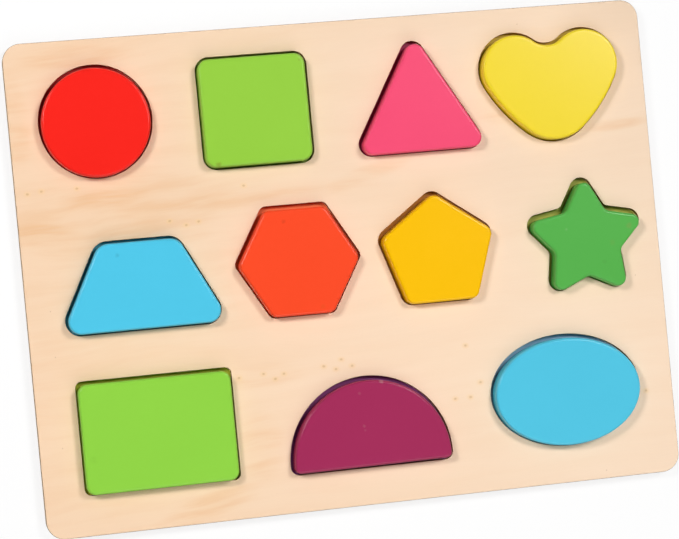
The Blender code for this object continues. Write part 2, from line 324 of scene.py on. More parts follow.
SHAPES = (
    Shape("circle", circle, (249, 37, 28), (186, 20, 14), (-0.20, -0.93)),
    Shape(
        "square", square, (151, 208, 67), (122, 146, 36), (-0.62, -0.39),
        marks=(Mark(-57.2, 50.2, 2.0, OLIVE, 0.40), Mark(-15.6, 95.2, 1.0, OLIVE, 0.22)),
    ),
    Shape("triangle", triangle, (249, 79, 119), (176, 34, 84), (0.18, -0.95)),
    Shape("heart", heart, (246, 219, 46), (226, 190, 60), (-0.34, -0.54), 1.1, 0.4),
    Shape(
        "trapezoid", trapezoid, (81, 201, 234), (66, 160, 182), (0.19, -0.49), ease=-0.00015,
        marks=(Mark(-107.1, 13.1, 1.4, (45, 120, 150), 0.22, 0.01),),
    ),
    Shape(
        "hexagon", hexagon, (254, 77, 39), (255, 114, 57), (-0.36, -0.94), -0.2, ease=0.00015,
        marks=(Mark(-30.0, 21.7, 1.4, (170, 35, 20), 0.22), Mark(-15.2, -18.8, 1.8, (190, 100, 20), 0.14)),
    ),
    Shape("pentagon", pentagon, (254, 195, 2), (200, 128, 20), (0.19, -0.90), 0.2, -0.1, ease=0.0001),
    Shape(
        "star", star, (88, 180, 78), (176, 179, 64), (-0.07, -0.90), -1.2, -1.0, ease=0.0004,
        marks=(
            Mark(134.3, 5.4, 2.2, (170, 110, 80), 0.16),
            Mark(125.3, -1.8, 2.0, (150, 120, 60), 0.09),
            Mark(120.5, -10.4, 1.6, SOOT, 0.07),
            Mark(103.5, 6.3, 1.0, PALE, 0.07),
        ),
    ),
    Shape(
        "rectangle", rectangle, (147, 215, 71), (188, 198, 42), (-0.48, -0.83), ease=-0.00025,
        marks=(Mark(-126.6, -77.9, 2.4, (90, 150, 40), 0.10),),
    ),
    Shape(
        "semicircle", semicircle, (166, 46, 91), (142, 58, 130), (-0.11, -0.36), 0.2, ease=0.0003,
        marks=(
            # A raised bump on the upper rim, whose pale colour is a painted highlight of the glint it
            # catches.
            Mark(8.5, -55.6, 1.5, PALE, 0.16, -0.02),
            Mark(-1.5, -75.4, 1.0, PALE, 0.06, 0.01),
            Mark(-1.2, -77.4, 0.8, PALE, 0.04, 0.01),
            Mark(-2.3, -60.2, 1.1, PALE, 0.04, 0.01),
        ),
    ),
    Shape("oval", oval, (84, 201, 231), (140, 188, 218), (-0.10, -0.79), 0.2, -0.5),
)


def placed(outline, place, turn):
    """The outline turned about its own origin by so many degrees, then moved to its place."""
    turned = Matrix.Rotation(math.radians(turn), 2)
    return [place + turned @ point for point in outline]


def low_corner(outline):
    return Vector((min(p.x for p in outline), min(p.y for p in outline)))


def high_corner(outline):
    return Vector((max(p.x for p in outline), max(p.y for p in outline)))


def block_place(shape):
    """Where the block's origin lies: its outline is centred in the node's box."""
    low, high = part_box(shape.node)
    outline = placed(shape.outline(), Vector((0.0, 0.0)), shape.block_turn)
    return ((low + high).xy - low_corner(outline) - high_corner(outline)) / 2


def block_outline(shape):
    return placed(shape.outline(), block_place(shape), shape.block_turn)


def recess_outline(shape, inside=0.0):
    """The recess round a block, or a line that far inside its wall."""
    play = shape.clearance - SEAT_GAP
    place = block_place(shape) - play * Vector(shape.slide)
    return placed(shape.outline(shape.clearance - inside), place, shape.recess_turn)


# Nodes as expressions


class Value:
    """An output socket that is reckoned with as a number is: each step adds a Math node."""

    def __init__(self, graph, socket):
        self.graph = graph
        self.socket = socket

    def __add__(self, other):
        return self.graph.math("ADD", self, other)

    __radd__ = __add__

    def __sub__(self, other):
        return self.graph.math("SUBTRACT", self, other)

    def __rsub__(self, other):
        return self.graph.math("SUBTRACT", other, self)

    def __mul__(self, other):
        return self.graph.math("MULTIPLY", self, other)

    __rmul__ = __mul__

    def __truediv__(self, other):
        return self.graph.math("DIVIDE", self, other)

    def __rtruediv__(self, other):
        return self.graph.math("DIVIDE", other, self)

    def __pow__(self, other):
        return self.graph.math("POWER", self, other)

    def __neg__(self):
        return self.graph.math("MULTIPLY", self, -1.0)

    def __getitem__(self, key):
        """Another output of the same node."""
        return Value(self.graph, self.socket.node.outputs[key])


class Graph:
    """Adds nodes to a tree, each with one call, for shaders and for geometry alike."""

    def __init__(self, tree):
        self.tree = tree

    def add(self, kind, settings=None, inputs=None, output=0):
        """Adds a node: its settings first, then the values or links of its sockets."""
        node = self.tree.nodes.new(kind)
        for name, value in (settings or {}).items():
            setattr(node, name, value)
        for key, value in (inputs or {}).items():
            if isinstance(value, Value):
                self.tree.links.new(value.socket, node.inputs[key])
            else:
                node.inputs[key].default_value = value
        return Value(self, node.outputs[output]) if len(node.outputs) else None

    def math(self, operation, *values):
        return self.add("ShaderNodeMath", {"operation": operation}, dict(enumerate(values)))

    def vector_math(self, operation, *values, output=0):
        return self.add("ShaderNodeVectorMath", {"operation": operation}, dict(enumerate(values)), output)

    def split(self, vector):
        """The parts of a vector, each taken by its name: X, Y or Z."""
        return self.add("ShaderNodeSeparateXYZ", inputs={0: vector})

    def joined(self, *parts):
        """Several geometries as one."""
        whole = self.add("GeometryNodeJoinGeometry")
        for part in parts:
            self.tree.links.new(part.socket, whole.socket.node.inputs[0])
        return whole

    def ramp(self, value, start, end):
        """0 where the value is at start, 1 where it is at end, and smooth between."""
        limits = {"Value": value, "From Min": start, "From Max": end, "To Min": 0.0, "To Max": 1.0}
        return self.add("ShaderNodeMapRange", {"interpolation_type": "SMOOTHSTEP"}, limits)

    def mix(self, factor, first, second, blend="MIX"):
        """Mixes two colours."""
        settings = {"data_type": "RGBA", "blend_type": blend}
        return self.add("ShaderNodeMix", settings, {0: factor, 6: first, 7: second}, output=2)

    def tinted(self, colour, tone):
        """The colour made lighter or darker by a factor near 1."""
        return self.mix(1.0, colour, tone, "MULTIPLY")


def linear(channel):
    value = channel / 255
    return value / 12.92 if value <= 0.04045 else ((value + 0.055) / 1.055) ** 2.4


def rgb(colour):
    return (*map(linear, colour), 1.0)


def grey(level):
    return (level, level, level, 1.0)


# Finishes: lengths in millimetres, colours as red, green and blue up to 255

MM_PER_METRE = 1000.0
PLIES = 3
# Painted shade low on the blocks' sides: its tone, and how far below the top it begins and is full.
SIDE_SHADE_TONE = 0.80
SIDE_SHADE_START_DEPTH = 7.5
SIDE_SHADE_FULL_DEPTH = 9.5

BARE_FLOOR = (214, 176, 128)
VENEER_DEEP_BAND = (247, 215, 183)
VENEER_PALE_BAND = (252, 224, 196)
VENEER_LEFT = (246, 208, 171)
VENEER_RIGHT = (254, 229, 204)
VENEER_STREAK = (236, 186, 136)
VENEER_TAN = (235, 180, 124)
VENEER_CORNER = (238, 209, 179)
VENEER_FLECK = (206, 160, 116)
PIN_HALO = (246, 206, 148)
PIN_BROWN = (170, 122, 76)
UNDERSIDE_DEEP_BAND = (226, 186, 143)
UNDERSIDE_PALE_BAND = (244, 211, 174)
UNDERSIDE_PORE = (168, 122, 80)
UNDERSIDE_PIN = (140, 92, 54)
LONG_PLY_DEEP = (226, 188, 144)
LONG_PLY_PALE = (247, 217, 180)
CROSS_PLY_DEEP = (186, 142, 98)
CROSS_PLY_PALE = (224, 184, 138)
EDGE_GLUE = (138, 96, 60)
EDGE_RIM_SHADE = (112, 88, 68)
WALL_DEEP = (168, 122, 78)
WALL_PALE = (200, 154, 106)
WALL_RIB = (140, 94, 56)
WALL_GLUE = (96, 62, 36)
SEAM_DEEP = (120, 84, 52)
SEAM_PALE = (176, 134, 88)


class Finish(Graph):
    """The node tree of one material, with patterns laid out in millimetres."""

    def __init__(self, name):
        self.material = bpy.data.materials.new(name)
        self.material.use_nodes = True
        super().__init__(self.material.node_tree)
        self.tree.nodes.clear()
        coordinates = self.add("ShaderNodeTexCoord", output="Object")
        self.normal = coordinates["Normal"]
        self.place = self.vector_math("MULTIPLY", coordinates, (MM_PER_METRE,) * 3)
        parts = self.split(self.place)
        self.x, self.y, self.z = parts["X"], parts["Y"], parts["Z"]

    def noise(self, size, detail=2.0, roughness=0.5, place=None, shift=(0.0, 0.0, 0.0)):
        """Noise from 0 to 1. Its blobs have the given size, or one size each along x, y and z."""
        sizes = size if isinstance(size, tuple) else (size, size, size)
        moved = self.vector_math("ADD", place or self.place, shift)
        scaled = self.vector_math("DIVIDE", moved, sizes)
        values = {"Vector": scaled, "Scale": 1.0, "Detail": detail, "Roughness": roughness}
        return self.add("ShaderNodeTexNoise", {"noise_dimensions": "3D"}, values)

    def scattered(self, spacing, radius, share, shift=0.0):
        """Round dots of the given radius, one to each cell of the spacing, in a share of the cells."""
        moved = self.vector_math("ADD", self.place, (shift, shift, shift))
        cells = {"Vector": moved, "Scale": 1.0 / spacing, "Randomness": 1.0}
        cell = self.add("ShaderNodeTexVoronoi", {"voronoi_dimensions": "2D"}, cells, output="Distance")
        chosen = self.add("ShaderNodeSeparateColor", inputs={0: cell["Color"]})
        edge = self.ramp(cell, radius / spacing, 0.5 * radius / spacing)
        return edge * self.math("LESS_THAN", chosen, share)

    def spot(self, x, y, size):
        """A small ragged spot round a place on the board."""
        away = self.vector_math("SUBTRACT", self.place, (x, y, 0.0))
        flat = self.vector_math("MULTIPLY", away, (1.0, 1.0, 0.0))
        ragged = (self.noise(0.7 * size, 3.0) - 0.5) * size
        reach = self.vector_math("LENGTH", flat, output="Value") + ragged
        return self.ramp(reach, size, 0.1 * size)

    def shade_of(self, patch):
        """1 in the middle of a long soft patch, fading to 0 at its rim."""
        away = self.vector_math("SUBTRACT", self.place, (patch.x, patch.y, 0.0))
        tilt = math.radians(patch.tilt)
        length, width = (math.cos(tilt), math.sin(tilt), 0.0), (-math.sin(tilt), math.cos(tilt), 0.0)
        reach = 0.0
        for axis, half in ((length, patch.length), (width, patch.width)):
            reach = reach + (self.vector_math("DOT_PRODUCT", away, axis, output="Value") / half) ** 2
        return self.ramp(reach, 1.0, 0.0)

    def finish(self, colour, roughness, height, specular=0.5):
        """Joins the shader up. The height is in millimetres."""
        bump = {"Strength": 1.0, "Distance": 1 / MM_PER_METRE, "Height": height}
        shader = {
            "Base Color": colour, "Roughness": roughness, "Specular IOR Level": specular,
            "Normal": self.add("ShaderNodeBump", inputs=bump),
        }
        surface = self.add("ShaderNodeBsdfPrincipled", inputs=shader)
        self.add("ShaderNodeOutputMaterial", inputs={"Surface": surface})
        return self.material


def block_paint(shape):
    """Satin paint, thinner over the rims, with painted shade and rougher paint low on the sides, where they
    sit in the recess.
    """
    paint = Finish(shape.name + "_paint")
    face = rgb(shape.paint)
    # Painted shade: a deeper, darker copy of the paint for the lowest part of the sides, inside the recess.
    side_shade = (*(SIDE_SHADE_TONE * channel**2 for channel in face[:3]), 1.0)
    cloud = paint.noise(24.0, 2.0)
    mottle = paint.noise(2.2, 3.0)
    drift = paint.noise((5.0, 5.0, 1.5), 2.0)
    top = MM_PER_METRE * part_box(shape.node)[1].z
    lean = paint.split(paint.normal)["Z"]
    over_rim = 1 - (2 * lean * lean - 1) ** 2
    tone = 1.0 + 0.04 * (cloud - 0.5) + 0.02 * (mottle - 0.5) - 0.05 * over_rim
    # The painted shade fades out upward along a ragged line, and the paint is rougher where it lies.
    shade_line = paint.z + 1.2 * (drift - 0.5)
    unshaded = paint.ramp(shade_line, top - SIDE_SHADE_FULL_DEPTH, top - SIDE_SHADE_START_DEPTH)
    colour = paint.tinted(paint.mix(unshaded, side_shade, face), tone)
    grain = paint.noise((22.0, 0.5, 0.5), 3.0)
    peel = paint.noise(0.9, 2.0)
    height = 0.008 * grain + 0.005 * peel
    for mark in shape.marks:
        spot = paint.spot(mark.x, mark.y, mark.size)
        colour = paint.mix(spot * mark.strength, colour, rgb(mark.colour))
        height = height - mark.dent * spot
    roughness = 0.22 + 0.05 * (mottle - 0.5) + 0.04 * (cloud - 0.5) + 0.20 * (1 - unshaded)
    return paint.finish(colour, roughness, height, specular=0.22)


def recess_paint(shape):
    """One light coat of matt paint on the bare veneer, whose grain shows through."""
    paint = Finish(shape.name + "_recess_paint")
    grain = paint.noise((14.0, 0.35, 0.35), 4.0, 0.6)
    cloud = paint.noise(9.0, 2.0)
    tone = 0.96 + 0.14 * (grain - 0.5) + 0.10 * (cloud - 0.5)
    colour = paint.tinted(rgb(shape.recess_paint), tone)
    bare = paint.ramp(grain, 0.66, 0.80)
    colour = paint.mix(bare * 0.25, colour, rgb(BARE_FLOOR))
    return paint.finish(colour, 0.62 + 0.12 * (grain - 0.5), 0.03 * grain)


@dataclass
class Patch:
    """A soft patch of deeper wood colour. Its place, half length and half width are in millimetres."""

    x: float
    y: float
    length: float
    width: float
    strength: float
    tilt: float = 0.0


TAN_PATCHES = (
    Patch(-105.0, 33.0, 62.0, 24.0, 0.34),
    Patch(-108.0, 38.5, 26.0, 6.0, 0.50),
    Patch(-139.0, 25.0, 20.0, 7.0, 0.50, -8.0),
    Patch(-34.0, 35.0, 60.0, 6.0, 0.34, 2.0),
    Patch(14.0, 41.0, 26.0, 5.0, 0.34, 16.0),
    Patch(-120.0, 105.0, 34.0, 6.0, 0.42, -2.0),
    Patch(-147.0, 75.0, 8.0, 26.0, 0.34),
    Patch(-49.0, -80.0, 13.0, 18.0, 0.36),
    Patch(-46.0, -48.0, 24.0, 7.0, 0.20),
    Patch(-76.0, -105.0, 30.0, 7.0, 0.40, 16.0),
    Patch(82.0, 62.0, 28.0, 6.0, 0.26, -14.0),
    Patch(134.0, 54.0, 20.0, 3.5, 0.40, 2.0),
)
PINS = (
    (-16.7, -46.4), (-8.2, -44.0), (-11.1, -48.2), (-3.4, -47.4), (-35.5, -47.9), (-39.7, -49.9),
    (-45.0, -47.1), (-56.5, -47.8), (51.2, -43.3), (44.0, -67.6), (51.3, -67.6), (56.7, -61.1),
    (-144.4, 44.3), (-138.0, 45.1), (-122.0, 45.1), (-45.9, 40.0), (-81.4, 26.7), (-68.2, 25.4),
    (-74.0, 24.2), (136.8, -73.2),
)


def face_veneer():
    """Pale rotary-cut veneer, its grain along x, with tan patches and a wavy figure to the left. Its deeper
    tone to the left and paler tone to the right are partly its own and partly painted light, and it is darker
    towards the back with painted shade.
    """
    wood = Finish("face_veneer")
    sweep = wood.noise((130.0, 60.0, 60.0), 2.0, shift=(0.0, 20.0, 0.0))
    curl = wood.noise((24.0, 10.0, 10.0), 2.0, shift=(31.0, 7.0, 0.0))
    bent_y = wood.y - 0.05 * wood.x + 22.0 * (sweep - 0.5) + 3.0 * (curl - 0.5)
    along = wood.add("ShaderNodeCombineXYZ", inputs={"X": wood.x, "Y": bent_y, "Z": wood.z})
    bands = wood.noise((210.0, 15.0, 40.0), 2.0, place=along)
    figure = wood.noise((42.0, 4.6, 30.0), 3.0, 0.55, place=along, shift=(0.0, 50.0, 0.0))
    fibres = wood.noise((9.0, 0.28, 4.0), 4.0, 0.62, place=along)
    flecks = wood.noise((3.4, 0.22, 2.0), 2.0, place=along, shift=(5.0, 9.0, 0.0))
    cloud = wood.noise((34.0, 24.0, 24.0), 2.0, shift=(3.0, 40.0, 0.0))
    curl_fine = wood.noise(0.8, 2.0)
    to_left = wood.ramp(wood.x, 30.0, -125.0)
    to_right = wood.ramp(wood.x, 10.0, 120.0)
    streaks = wood.ramp(figure, 0.36, 0.70)

    colour = wood.mix(bands, rgb(VENEER_DEEP_BAND), rgb(VENEER_PALE_BAND))
    # Deeper to the left and paler to the right: partly the veneer's own tone, partly painted shade and light
    # across the board.
    colour = wood.mix(to_left * 0.50, colour, rgb(VENEER_LEFT))
    colour = wood.mix(to_right * 0.30, colour, rgb(VENEER_RIGHT))
    colour = wood.mix(streaks * (0.05 + 0.14 * to_left), colour, rgb(VENEER_STREAK))
    for patch in TAN_PATCHES:
        shade = wood.shade_of(patch) * (0.25 + 0.75 * streaks) * patch.strength
        colour = wood.mix(shade, colour, rgb(VENEER_TAN))
    corner = wood.ramp(wood.x, 105.0, 145.0) * wood.ramp(wood.y, 70.0, 108.0)
    colour = wood.mix(corner * 0.6, colour, rgb(VENEER_CORNER))
    # Painted shade: the veneer darkens towards the back, evening out the lamps' fall-off.
    back_shade = wood.ramp(wood.y, -60.0, 60.0)
    colour = wood.tinted(colour, 1.02 - 0.05 * back_shade + 0.03 * (cloud - 0.5) + 0.05 * (fibres - 0.5))
    colour = wood.mix(wood.ramp(flecks, 0.66, 0.80) * 0.14, colour, rgb(VENEER_FLECK))

    pins, halo = wood.scattered(23.0, 0.4, 0.06, shift=2.2), 0.0
    for x, y in PINS:
        away = wood.vector_math("SUBTRACT", wood.place, (x, y, 0.0))
        away = wood.vector_math("MULTIPLY", away, (1.0, 1.3, 0.0))
        reach = wood.vector_math("LENGTH", away, output="Value") + 0.6 * (curl_fine - 0.5)
        pins = wood.math("MAXIMUM", pins, wood.ramp(reach, 0.90, 0.30))
        halo = wood.math("MAXIMUM", halo, wood.ramp(reach, 2.4, 0.6))
    colour = wood.mix(halo * 0.45, colour, rgb(PIN_HALO))
    colour = wood.mix(pins * 0.32, colour, rgb(PIN_BROWN))

    roughness = 0.56 + 0.10 * (fibres - 0.5) - 0.05 * (bands - 0.5)
    height = 0.020 * fibres + 0.012 * flecks - 0.04 * pins
    return wood.finish(colour, roughness, height, specular=0.35)


def back_veneer():
    """The underside: a plainer, browner sheet with a coarser grain."""
    wood = Finish("back_veneer")
    wander = wood.noise((70.0, 26.0, 26.0), 2.0, shift=(11.0, 3.0, 0.0))
    bent_y = wood.y + 14.0 * (wander - 0.5)
    along = wood.add("ShaderNodeCombineXYZ", inputs={"X": wood.x, "Y": bent_y, "Z": wood.z})
    bands = wood.noise((170.0, 8.0, 40.0), 3.0, place=along, shift=(0.0, 80.0, 0.0))
    fibres = wood.noise((8.0, 0.32, 4.0), 4.0, 0.65, place=along)
    pores = wood.noise((4.5, 0.24, 2.0), 2.0, place=along, shift=(2.0, 4.0, 0.0))
    colour = wood.mix(bands, rgb(UNDERSIDE_DEEP_BAND), rgb(UNDERSIDE_PALE_BAND))
    colour = wood.tinted(colour, 1.0 + 0.09 * (fibres - 0.5))
    colour = wood.mix(wood.ramp(pores, 0.62, 0.78) * 0.30, colour, rgb(UNDERSIDE_PORE))
    pins = wood.scattered(17.0, 0.8, 0.20, shift=4.4)
    colour = wood.mix(pins * 0.5, colour, rgb(UNDERSIDE_PIN))
    height = 0.030 * fibres + 0.020 * pores - 0.05 * pins
    return wood.finish(colour, 0.62 + 0.10 * (fibres - 0.5), height, specular=0.3)


def plies(wood, height):
    """Counts plies upward from the underside. The bond line counts as one, so both panels are alike."""
    back_low, back_high = (MM_PER_METRE * corner.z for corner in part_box("back_board"))
    panel_low, panel_high = (MM_PER_METRE * corner.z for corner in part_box("frame_board"))
    in_back = height / ((back_high - back_low) / PLIES)
    in_panel = (height - panel_low) / ((panel_high - panel_low) / PLIES) + PLIES + 1
    above = wood.math("GREATER_THAN", height, (back_high + panel_low) / 2)
    return in_back + above * (in_panel - in_back)


def glue_line(wood, ply, start, end):
    """1 on the line of glue between two plies and 0 away from it, in shares of a ply."""
    within = ply - wood.math("FLOOR", ply)
    from_line = 0.5 - wood.math("ABSOLUTE", within - 0.5)
    return wood.ramp(from_line, start, end)


def ply_edge():
    """The sanded outer edge: plies laid crosswise in turn, with narrow dark lines of glue between, and
    painted shade along its rounded top rim.
    """
    wood = Finish("ply_edge")
    sway = wood.noise((30.0, 30.0, 30.0), 2.0)
    ply = plies(wood, wood.z + 0.10 * (sway - 0.5))
    across = wood.math("MODULO", wood.math("FLOOR", ply), 2.0)
    line = glue_line(wood, ply, 0.09, 0.03)
    long_grain = wood.noise((6.0, 6.0, 0.16), 3.0, 0.6)
    end_grain = wood.noise((0.22, 0.22, 0.9), 3.0, 0.7)
    colour = wood.mix(long_grain, rgb(LONG_PLY_DEEP), rgb(LONG_PLY_PALE))
    crossed = wood.mix(end_grain, rgb(CROSS_PLY_DEEP), rgb(CROSS_PLY_PALE))
    colour = wood.mix(across, colour, crossed)
    colour = wood.mix(line * 0.6, colour, rgb(EDGE_GLUE))
    lean = wood.split(wood.normal)["Z"]
    # Painted shade: the rounded top rim is darkened to a narrow brown-grey line round the board.
    colour = wood.mix(wood.ramp(lean, 0.02, 0.25) * 0.9, colour, rgb(EDGE_RIM_SHADE))
    relief = 0.02 * long_grain + 0.03 * end_grain * across - 0.03 * line
    return wood.finish(colour, 0.66 + 0.1 * (end_grain - 0.5), relief, specular=0.3)


def cut_wall():
    """The cut wall of a recess: its plies, a little browned and lightly ribbed down its height."""
    wood = Finish("cut_wall")
    ribs = wood.noise((0.35, 0.35, 7.0), 2.0, 0.6)
    smoke = wood.noise(6.0, 3.0)
    line = glue_line(wood, plies(wood, wood.z), 0.14, 0.04)
    brown = wood.mix(smoke, rgb(WALL_DEEP), rgb(WALL_PALE))
    colour = wood.mix(wood.ramp(ribs, 0.35, 0.70) * 0.5, brown, rgb(WALL_RIB))
    colour = wood.mix(line * 0.5, colour, rgb(WALL_GLUE))
    return wood.finish(colour, 0.7 + 0.1 * (ribs - 0.5), 0.04 * ribs, specular=0.25)


def glue():
    """The bond line between the two panels, a narrow dark seam with squeezed-out beads."""
    seam = Finish("bond_line")
    beads = seam.noise((1.6, 1.6, 0.3), 2.0)
    colour = seam.mix(beads, rgb(SEAM_DEEP), rgb(SEAM_PALE))
    return seam.finish(colour, 0.45 + 0.1 * (beads - 0.5), 0.05 * beads)


# Trees that shape the wood


def geometry_tree(name, numbers, materials, outputs=("Mesh",)):
    """An empty tree that takes outlines, named numbers and named materials. Steps are whole numbers."""
    tree = bpy.data.node_groups.new(name, "GeometryNodeTree")
    interface = tree.interface
    interface.new_socket("Outlines", in_out="INPUT", socket_type="NodeSocketGeometry")
    for number in numbers:
        kind = "NodeSocketInt" if number.endswith("Steps") else "NodeSocketFloat"
        interface.new_socket(number, in_out="INPUT", socket_type=kind)
    for material in materials:
        interface.new_socket(material, in_out="INPUT", socket_type="NodeSocketMaterial")
    for output in outputs:
        interface.new_socket(output, in_out="OUTPUT", socket_type="NodeSocketGeometry")
    graph = Graph(tree)
    return tree, graph, graph.add("NodeGroupInput")


def rim_tree():
    """Sweeps the side wall of a sheet of wood round its outlines, with rounded or eased rims.

    Outlines lie at z = 0 and run counter-clockwise round wood and clockwise round a hole. The wall
    ends in a flat band on the top and one underneath, and Cap Outlines are their inner edges.
    """
    sizes = ("Thickness", "Top Round", "Bottom Round", "Flat Band", "Rim Steps")
    tree, graph, given = geometry_tree("rim", sizes, (), ("Wall", "Cap Outlines"))
    upright = graph.add(
        "GeometryNodeSetCurveNormal", {"mode": "Z_UP"}, {"Curve": given["Outlines"]}
    )
    half = given["Thickness"] / 2
    inset = graph.math("MAXIMUM", given["Top Round"], given["Bottom Round"]) + given["Flat Band"]
    # The section's x points out of the wood and its y points down, so points 1 and 2 are at the top.
    corner = {}
    for name, x, y in (
        ("Point 1", -inset, -half), ("Point 2", 0.0, -half), ("Point 3", 0.0, half), ("Point 4", -inset, half)
    ):
        corner[name] = graph.add("ShaderNodeCombineXYZ", inputs={"X": x, "Y": y})
    section = graph.add("GeometryNodeCurvePrimitiveQuadrilateral", {"mode": "POINTS"}, corner)
    section = graph.add("GeometryNodeSetSplineCyclic", inputs={"Geometry": section, "Cyclic": False})
    at_top = graph.math("LESS_THAN", graph.add("GeometryNodeInputIndex"), 1.5)
    radius = given["Bottom Round"] + at_top * (given["Top Round"] - given["Bottom Round"])
    section = graph.add(
        "GeometryNodeFilletCurve", {"mode": "POLY"},
        {"Curve": section, "Count": given["Rim Steps"], "Radius": radius},
    )
    wall = graph.add("GeometryNodeCurveToMesh", inputs={"Curve": upright, "Profile Curve": section})
    inward = graph.add(
        "ShaderNodeVectorMath", {"operation": "SCALE"},
        {0: graph.add("GeometryNodeInputNormal"), "Scale": -inset},
    )
    caps = graph.add("GeometryNodeSetPosition", inputs={"Geometry": upright, "Offset": inward})
    graph.add("NodeGroupOutput", inputs={"Wall": wall, "Cap Outlines": caps})
    return tree


def capped(graph, wall, cap_outlines, given):
    """Closes a wall with a flat sheet on the top and one underneath, and lifts it to its height."""
    sheet = graph.add("GeometryNodeFillCurve", {"mode": "TRIANGLES"}, {"Curve": cap_outlines})
    up = graph.add("ShaderNodeCombineXYZ", inputs={"Z": given["Thickness"] / 2})
    down = graph.add("ShaderNodeCombineXYZ", inputs={"Z": given["Thickness"] / -2})
    top = graph.add("GeometryNodeSetPosition", inputs={"Geometry": sheet, "Offset": up})
    under = graph.add("GeometryNodeFlipFaces", inputs={"Mesh": sheet})
    under = graph.add("GeometryNodeSetPosition", inputs={"Geometry": under, "Offset": down})
    welded = graph.add(
        "GeometryNodeMergeByDistance",
        inputs={"Geometry": graph.joined(under, top, wall), "Distance": WELD_DISTANCE},
    )
    middle = graph.add("ShaderNodeCombineXYZ", inputs={"Z": given["Middle Height"]})
    lifted = graph.add("GeometryNodeSetPosition", inputs={"Geometry": welded, "Offset": middle})
    return graph.add("GeometryNodeSetShadeSmooth", inputs={0: lifted, "Shade Smooth": True})


def block_tree(rim):
    """A solid of one outline with both rims rounded: a block, or a film of paint."""
    sizes = ("Thickness", "Middle Height", "Edge Round", "Rim Flat", "Rim Steps")
    tree, graph, given = geometry_tree("block", sizes, ("Finish",))
    wall = graph.add(
        "GeometryNodeGroup", {"node_tree": rim},
        {
            "Outlines": given["Outlines"], "Thickness": given["Thickness"],
            "Top Round": given["Edge Round"], "Bottom Round": given["Edge Round"],
            "Flat Band": given["Rim Flat"], "Rim Steps": given["Rim Steps"],
        },
    )
    solid = capped(graph, wall, wall["Cap Outlines"], given)
    real = graph.add("GeometryNodeRealizeInstances", inputs={0: solid})
    done = graph.add("GeometryNodeSetMaterial", inputs={"Geometry": real, "Material": given["Finish"]})
    graph.add("NodeGroupOutput", inputs={"Mesh": done})
    return tree


def panel_tree(rim):
    """A panel of the board. Its first outline is the outer edge, and the others are cut through."""
    sizes = ("Thickness", "Middle Height", "Top Round", "Bottom Round", "Cut Ease", "Rim Flat", "Rim Steps")
    tree, graph, given = geometry_tree("panel", sizes, ("Top", "Underside", "Edge", "Cut"))
    is_cut = graph.math("GREATER_THAN", graph.add("GeometryNodeInputIndex"), 0.5)
    parts = graph.add(
        "GeometryNodeSeparateGeometry", {"domain": "CURVE"},
        {"Geometry": given["Outlines"], "Selection": is_cut},
    )
    common = {
        "Thickness": given["Thickness"], "Flat Band": given["Rim Flat"], "Rim Steps": given["Rim Steps"],
    }
    edge = graph.add(
        "GeometryNodeGroup", {"node_tree": rim},
        {
            **common, "Outlines": parts["Inverted"],
            "Top Round": given["Top Round"], "Bottom Round": given["Bottom Round"],
        },
    )
    cuts = graph.add(
        "GeometryNodeGroup", {"node_tree": rim},
        {**common, "Outlines": parts["Selection"], "Top Round": given["Cut Ease"], "Bottom Round": 0.0},
    )
    edge_wall = graph.add("GeometryNodeSetMaterial", inputs={"Geometry": edge, "Material": given["Edge"]})
    cut_walls = graph.add("GeometryNodeSetMaterial", inputs={"Geometry": cuts, "Material": given["Cut"]})
    cap_outlines = graph.joined(edge["Cap Outlines"], cuts["Cap Outlines"])
    solid = capped(graph, graph.joined(edge_wall, cut_walls), cap_outlines, given)
    real = graph.add("GeometryNodeRealizeInstances", inputs={0: solid})
    facing = graph.split(graph.add("GeometryNodeInputNormal"))["Z"]
    on_top = graph.math("GREATER_THAN", facing, FLAT_FACING)
    below = graph.math("LESS_THAN", facing, -FLAT_FACING)
    done = graph.add(
        "GeometryNodeSetMaterial", inputs={"Geometry": real, "Selection": on_top, "Material": given["Top"]}
    )
    done = graph.add(
        "GeometryNodeSetMaterial",
        inputs={"Geometry": done, "Selection": below, "Material": given["Underside"]},
    )
    graph.add("NodeGroupOutput", inputs={"Mesh": done})
    return tree


def outline_curve(name, outlines):
    """Straight-sided closed splines: the wood's outline first, then holes, which run clockwise."""
    curve = bpy.data.curves.new(name, "CURVE")
    curve.dimensions = "3D"
    for i, outline in enumerate(outlines):
        points = outline if i == 0 else outline[::-1]
        spline = curve.splines.new("POLY")
        spline.points.add(len(points) - 1)
        spline.use_cyclic_u = True
        for point, (x, y) in zip(spline.points, points):
            point.co = (x, y, 0.0, 1.0)
    return bpy.data.objects.new(name, curve)


def shaped(name, tree, outlines, low, high, body, settings):
    """Runs a tree on the outlines and keeps the result as a plain mesh that rides on a body."""
    rough = outline_curve(name + "_outline", outlines)
    settings = {**settings, "Thickness": high - low, "Middle Height": (low + high) / 2}
    bpy.context.scene.collection.objects.link(rough)
    modifier = rough.modifiers.new(name, "NODES")
    modifier.node_group = tree
    for socket in tree.interface.items_tree:
        if socket.in_out == "INPUT" and socket.name in settings:
            modifier[socket.identifier] = settings[socket.name]
    graph = bpy.context.evaluated_depsgraph_get()
    mesh = bpy.data.meshes.new_from_object(rough.evaluated_get(graph))
    mesh.name = name
    bpy.data.objects.remove(rough)
    piece = bpy.data.objects.new(name, mesh)
    bpy.context.scene.collection.objects.link(piece)
    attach(piece, body)
    return piece


# The puzzle


def make_block(shape, tree):
    low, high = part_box(shape.node)
    settings = {
        "Edge Round": BLOCK_EDGE_ROUND, "Rim Flat": RIM_FLAT,
        "Rim Steps": BLOCK_RIM_STEPS, "Finish": block_paint(shape),
    }
    outline = block_outline(shape)
    piece = shaped(
        shape.name + "_painted", tree, [outline], low.z, high.z, shape.name, settings
    )
    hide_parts(shape.node)


